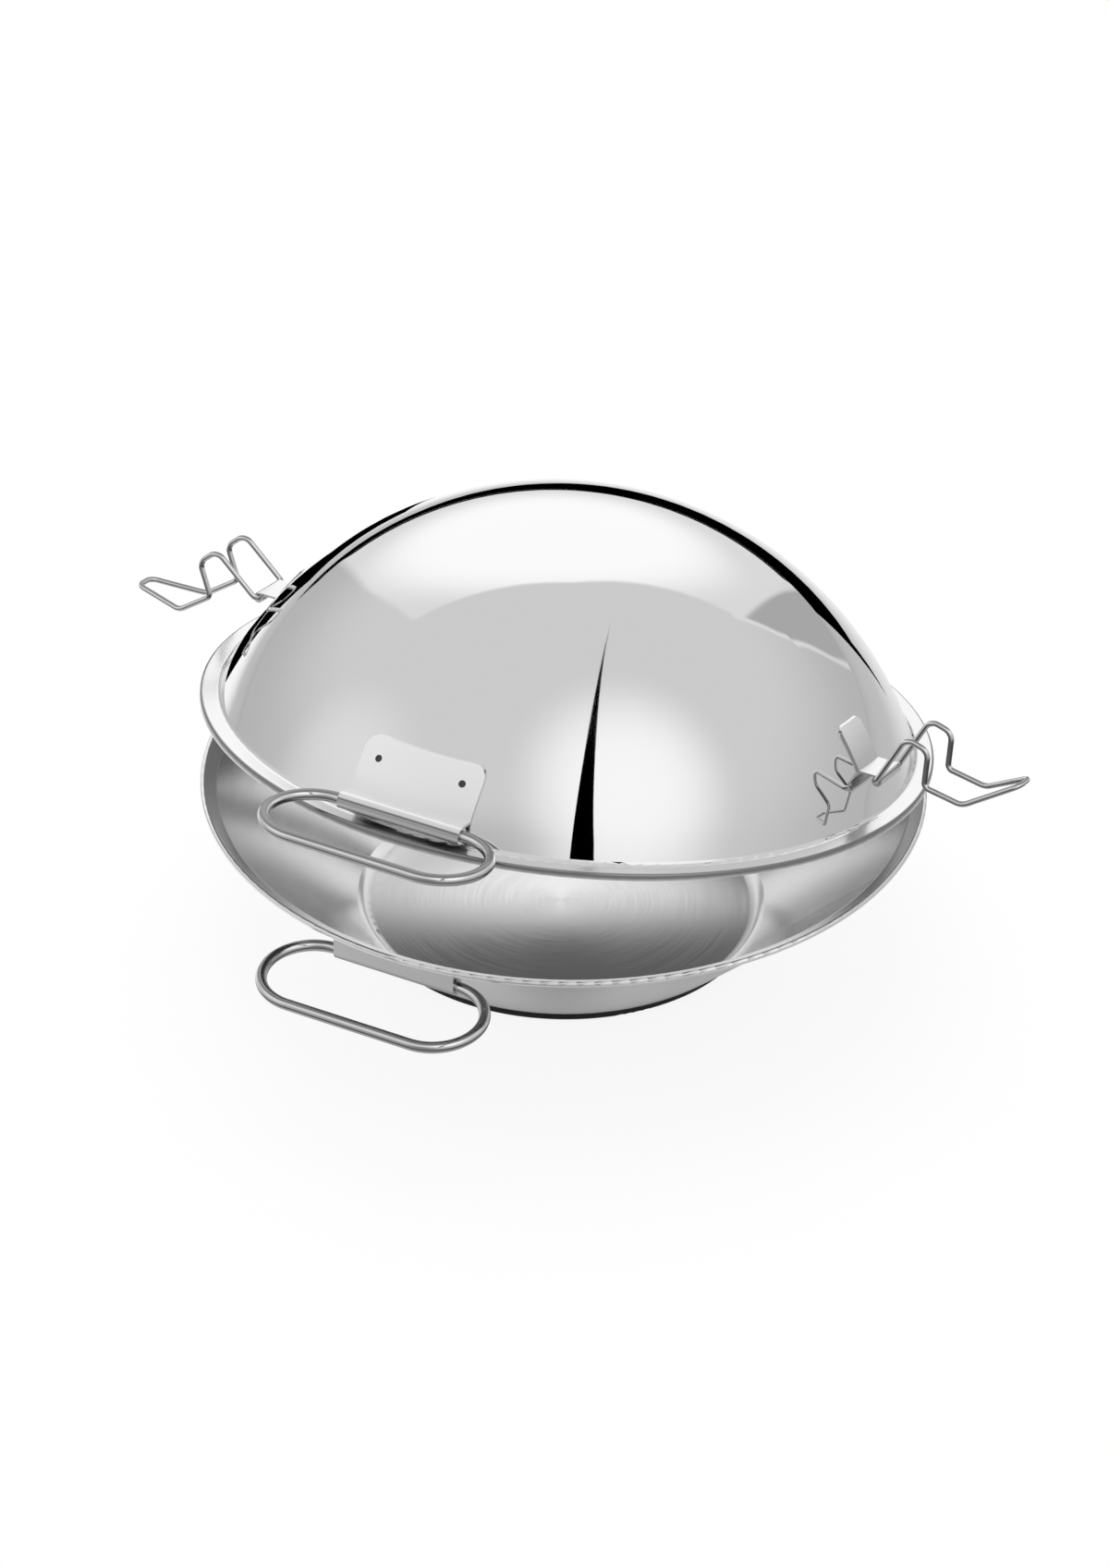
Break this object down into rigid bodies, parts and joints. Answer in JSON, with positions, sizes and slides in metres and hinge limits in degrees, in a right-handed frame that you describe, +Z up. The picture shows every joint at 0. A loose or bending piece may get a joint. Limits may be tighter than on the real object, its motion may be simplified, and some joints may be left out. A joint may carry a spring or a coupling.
{
  "type": "cataplana",
  "caption": "Hinged stainless steel clam-shell pan: shallow bowl with capsule base, mirror-bright domed lid standing ajar, wire loop handles at the front and bent-wire side clips.",
  "frame": {"origin": "centre of the base's underside, where the pan stands on the hob or table", "axes": "+Z up, handles towards -Y, hinge towards +Y, clips on +X and -X"},
  "size_m": [0.4338, 0.3672, 0.2004],
  "materials": {
    "bowl_steel": "satin inside with a circular grain, bright outside",
    "lid_steel": "mirror polished outside",
    "cap_steel": "turned, slightly darker",
    "plate_steel": "fine satin sheet",
    "wire_steel": "bright drawn wire",
    "core_aluminium": "bare"
  },
  "bodies": {
    "base": {"lower_bowl": "bowl_steel", "base_core_disc": "core_aluminium", "base_cap": "cap_steel", "lower_handle_bracket": "plate_steel", "lower_handle_loop": "wire_steel", "hinge_leaf_lower": "plate_steel", "hinge_pin": "wire_steel"},
    "lid": {"lid_bowl": "lid_steel", "lid_handle_bracket": "plate_steel", "lid_handle_loop": "wire_steel", "hinge_leaf_lid": "plate_steel", "right_clip_bracket": "plate_steel", "left_clip_bracket": "plate_steel"},
    "right_clip": {"right_clip_wire": "wire_steel"},
    "left_clip": {"left_clip_wire": "wire_steel"}
  },
  "joints": [
    {"name": "lid_hinge", "type": "hinge", "parent": "base", "child": "lid", "pos_m": [0, 0.1672, 0.0703], "axis": [-1, 0, 0], "range_deg": [-10, 85]},
    {"name": "right_clip_swing", "type": "hinge", "parent": "lid", "child": "right_clip", "pos_m": [0.1525, 0.00567, 0.11706], "axis": [0, -0.9848, 0.1736], "range_deg": [-84, 68]},
    {"name": "left_clip_swing", "type": "hinge", "parent": "lid", "child": "left_clip", "pos_m": [-0.1525, 0.00567, 0.11706], "axis": [0, 0.9848, -0.1736], "range_deg": [-59, 93]}
  ]
}
